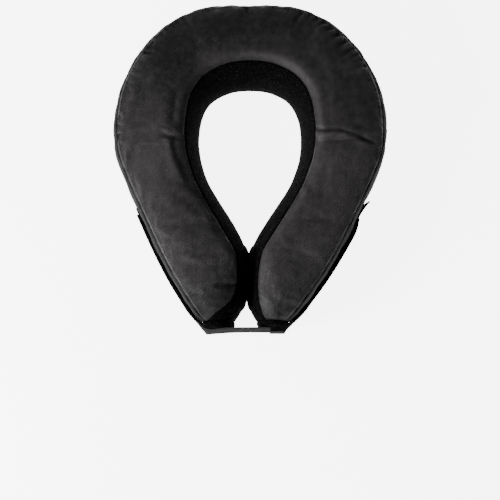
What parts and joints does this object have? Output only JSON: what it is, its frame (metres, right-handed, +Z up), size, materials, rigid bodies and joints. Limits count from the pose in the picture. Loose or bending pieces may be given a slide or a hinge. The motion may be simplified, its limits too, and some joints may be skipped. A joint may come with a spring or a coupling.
{
  "type": "karting neck brace",
  "caption": "Padded foam collar in woven cloth, teardrop ring open at the throat, closed by a hook-and-loop strap across the tips; rests on the shoulders and supports a helmet",
  "frame": {"origin": "centre of the bounding box's bottom face, in the plane that the sole rests on", "axes": "+Z up through the neck opening, -Y towards the tips and the strap at the throat, +Y towards the nape, +X towards the side with the strap's folded end"},
  "size_m": [0.2746, 0.3368, 0.0761],
  "materials": {
    "foam": "matte",
    "nylon": "satin",
    "fleece": "matte",
    "patch": "matte",
    "border": "matte",
    "white_thread": "satin",
    "green_thread": "satin",
    "loop": "matte",
    "strap": "satin",
    "keeper": "matte"
  },
  "bodies": {
    "root": {"foam_core": "foam", "sole": "nylon", "outer_band": "nylon", "top_panel": "nylon", "neck_lining": "fleece", "tip_end_left": "fleece", "tip_end_right": "fleece", "patch_ground": "patch", "patch_border": "border", "bar_white_1": "white_thread", "bar_white_2": "white_thread", "bar_white_3": "white_thread", "bar_white_4": "white_thread", "bar_white_5": "white_thread", "bar_green_6": "green_thread", "bar_green_7": "green_thread", "loop_patch_left": "loop", "loop_patch_right": "loop", "closure_strap": "strap", "strap_keeper": "keeper"}
  },
  "joints": []
}
